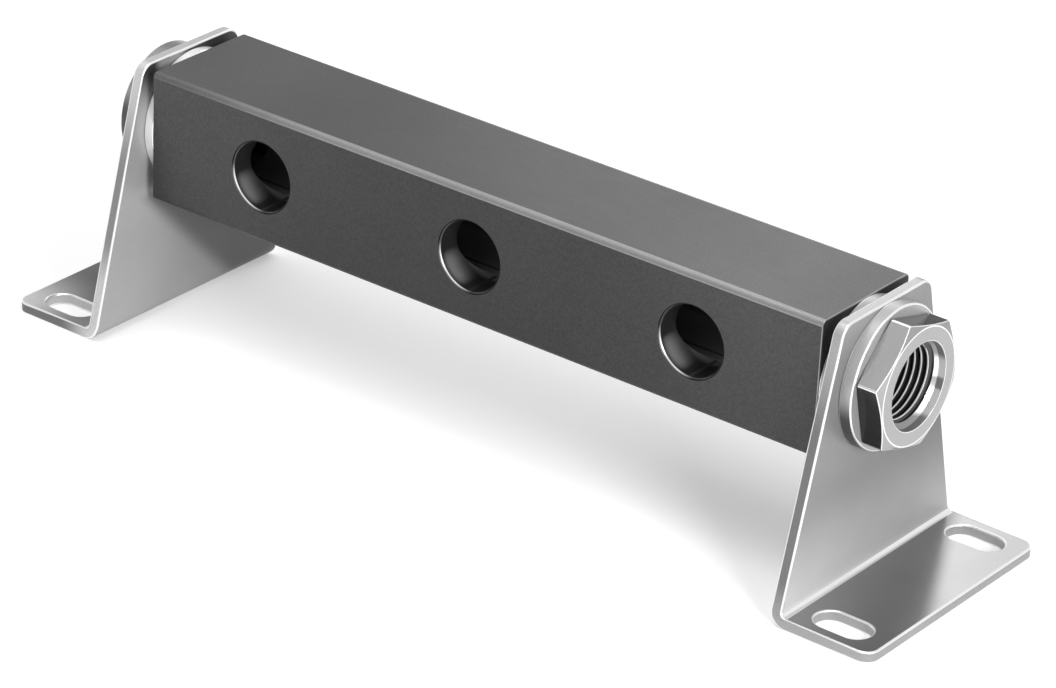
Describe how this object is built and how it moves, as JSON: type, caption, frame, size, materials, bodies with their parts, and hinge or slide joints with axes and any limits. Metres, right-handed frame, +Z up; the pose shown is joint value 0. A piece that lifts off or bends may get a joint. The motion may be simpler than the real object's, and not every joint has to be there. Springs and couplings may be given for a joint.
{
  "type": "valve manifold rail",
  "caption": "Square air distribution rail with cross holes for hollow screws, held at each end by a folded slotted bracket, with a threaded hexagon port fitting at one end and a blanking plug at the other.",
  "frame": {"origin": "midway between the two feet, on the surface they stand on", "axes": "+X along the rail towards the right-hand port, +Y towards the rail's back face, +Z up from the feet"},
  "size_m": [0.266, 0.07, 0.0713],
  "materials": {
    "rail_anodised": "dark satin anodised",
    "bracket_zinc": "satin zinc plate",
    "fitting_nickel": "nickel plate",
    "ring_steel": "turned and zinc plated"
  },
  "bodies": {
    "root": {"manifold_rail": "rail_anodised", "bracket_right": "bracket_zinc", "bracket_left": "bracket_zinc", "end_fitting_right": "fitting_nickel", "end_fitting_left": "fitting_nickel", "outer_ring_right": "ring_steel", "inner_ring_right": "ring_steel", "inner_ring_left": "ring_steel"}
  },
  "joints": []
}
